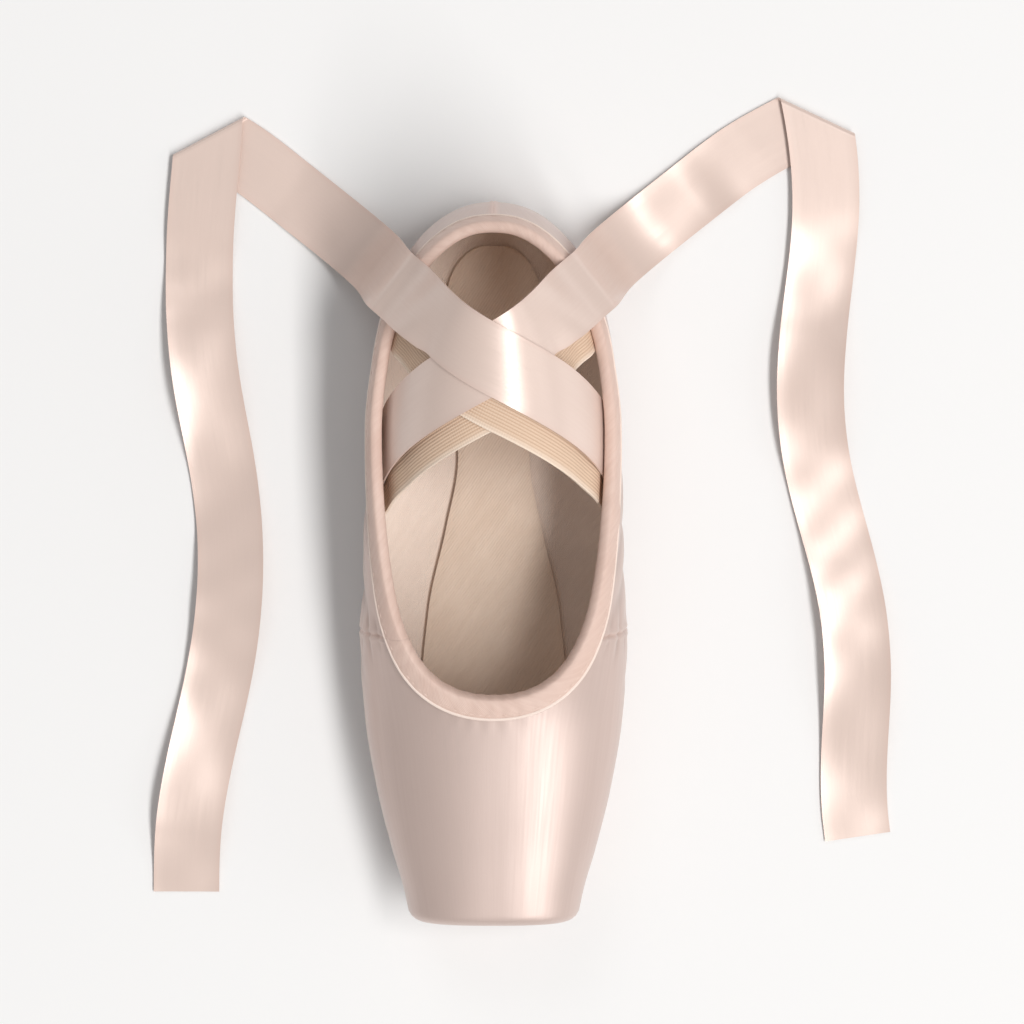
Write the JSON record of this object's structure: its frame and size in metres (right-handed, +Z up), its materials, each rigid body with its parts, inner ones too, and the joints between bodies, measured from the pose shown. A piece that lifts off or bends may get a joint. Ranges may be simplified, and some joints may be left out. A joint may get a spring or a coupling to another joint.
{
  "type": "pointe shoe",
  "caption": "Straight-lasted ballet pointe shoe with a hollow satin upper, flat toe platform, bound collar, thin leather sole, crossed elastics and loose ribbons.",
  "frame": {"origin": "on the floor under the flat of the forefoot, on the shoe's centre line", "axes": "+X along the shoe towards the toe platform, +Y to one side, +Z up"},
  "size_m": [0.2699, 0.2472, 0.0831],
  "materials": {
    "satin": "glossy pale pink satin",
    "binding": "folded satin tape",
    "sole_leather": "buffed tan leather",
    "insole": "matt sock lining",
    "elastic": "matt woven elastic",
    "ribbon": "thin glossy satin ribbon"
  },
  "bodies": {
    "root": {"upper": "satin", "binding": "binding", "outsole": "sole_leather", "insole": "insole", "elastic_left": "elastic", "elastic_right": "elastic", "ribbon_left": "ribbon", "ribbon_right": "ribbon"}
  },
  "joints": []
}
